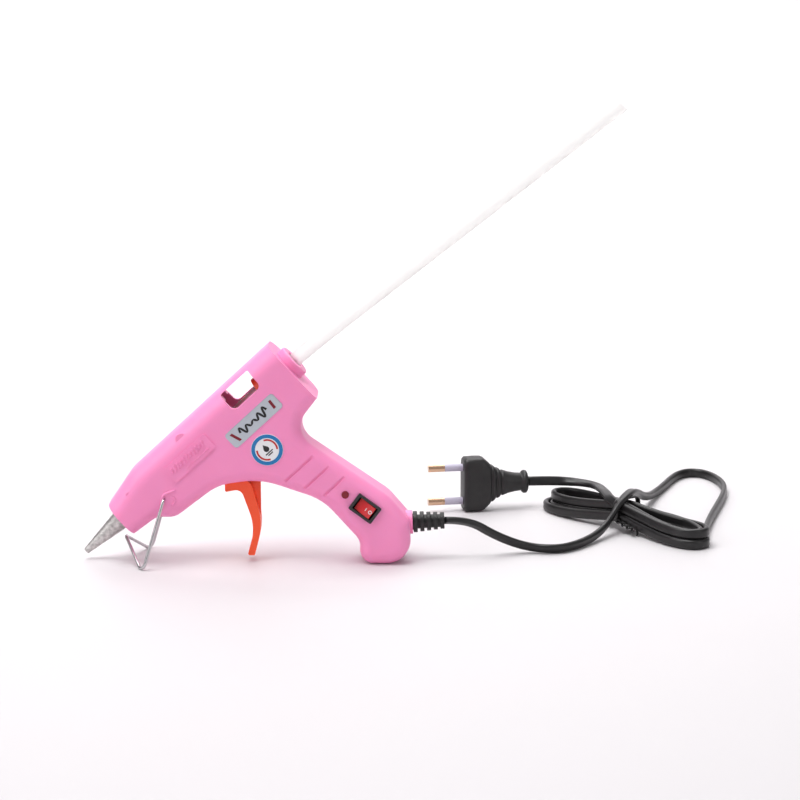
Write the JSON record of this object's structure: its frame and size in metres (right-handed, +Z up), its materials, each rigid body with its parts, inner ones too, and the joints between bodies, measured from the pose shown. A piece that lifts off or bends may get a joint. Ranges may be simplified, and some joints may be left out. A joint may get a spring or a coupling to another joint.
{
  "type": "glue gun",
  "caption": "Small hot glue gun with a long glue stick, sprung trigger feed, rocker switch, fold-down wire stand and a tied mains lead with a two-pin plug.",
  "frame": {"origin": "centre of the gun's box on the surface that it stands on, leaving out the free cord and plug", "axes": "+X from the nozzle towards the handle, +Y across the gun away from the side with the switch, +Z up"},
  "size_m": [0.3472, 0.1966, 0.2325],
  "materials": {
    "pink_plastic": "satin moulded plastic",
    "orange_plastic": "satin moulded plastic",
    "cast_aluminium": "rough cast",
    "steel": "bright",
    "stand_steel": "bright plated wire",
    "black_plastic": "matt moulded plastic",
    "black_rubber": "matt",
    "red_plastic": "glossy",
    "red_lens": "glossy lens",
    "white_ceramic": "matt",
    "mica": "satin sheet",
    "amber_film": "glossy film",
    "silicone": "matt",
    "pink_collar": "satin moulded plastic",
    "glue": "milky, lets light through",
    "label_print": "printed foil",
    "brass": "bright",
    "lilac_plastic": "satin",
    "wire_cover": "satin cover"
  },
  "bodies": {
    "housing": {"housing_left": "pink_plastic", "housing_right": "pink_plastic", "nozzle": "cast_aluminium", "heating_chamber": "cast_aluminium", "heater_film": "amber_film", "heater_electrodes": "steel", "heater_disc": "white_ceramic", "front_insulator": "white_ceramic", "heat_shield": "mica", "inlet_sleeve": "silicone", "sleeve_clip": "steel", "inlet_collar": "pink_collar", "return_spring": "steel", "trigger_pin": "steel", "name_plate": "label_print", "round_badge": "label_print", "switch_frame": "black_plastic", "switch_terminals": "brass", "lamp_lens": "red_lens", "lamp_resistor": "white_ceramic", "wire_neutral": "wire_cover", "wire_live": "wire_cover", "wire_heater": "wire_cover", "cord_grommet": "black_rubber", "cord_clamp": "black_plastic", "clamp_base": "black_plastic", "clamp_screws": "steel", "housing_screws": "steel", "cord_inside": "black_rubber", "cord_lead": "black_rubber", "cord_loop": "black_rubber", "cord_tail": "black_rubber", "cord_hank": "black_rubber", "cord_tie": "black_rubber", "plug_body": "black_plastic", "plug_pins": "brass", "plug_pin_sleeves": "lilac_plastic"},
    "trigger": {"trigger": "orange_plastic"},
    "carriage": {"feed_carriage": "orange_plastic", "grip_claw": "steel"},
    "stick": {"glue_stick": "glue"},
    "rocker": {"switch_rocker": "red_plastic"},
    "stand": {"stand_wire": "stand_steel"}
  },
  "joints": [
    {"name": "trigger_pull", "type": "hinge", "parent": "housing", "child": "trigger", "pos_m": [-0.053, 0, 0.05], "axis": [0, -1, 0], "range_deg": [0, 24], "stiffness_Nm_per_rad": 0.25, "springref_deg": -6.88},
    {"name": "carriage_slide", "type": "slide", "parent": "housing", "child": "carriage", "axis": [-0.7337, 0, -0.6794], "range_m": [0, 0.00561], "deforming": ["return_spring"]},
    {"name": "stick_feed", "type": "slide", "parent": "housing", "child": "stick", "axis": [-0.7337, 0, -0.6794], "range_m": [-0.075, 0.003]},
    {"name": "switch_rock", "type": "hinge", "parent": "housing", "child": "rocker", "pos_m": [0.008, -0.0118, 0.0299], "axis": [0.5962, 0, 0.8028], "range_deg": [0, 20]},
    {"name": "stand_fold", "type": "hinge", "parent": "housing", "child": "stand", "pos_m": [-0.0924, 0, 0.0343], "axis": [0, -1, 0], "range_deg": [0, 105]}
  ],
  "couplings": [
    {"joint": "carriage_slide", "follows": "trigger_pull", "m_per_rad": 0.013402}
  ]
}
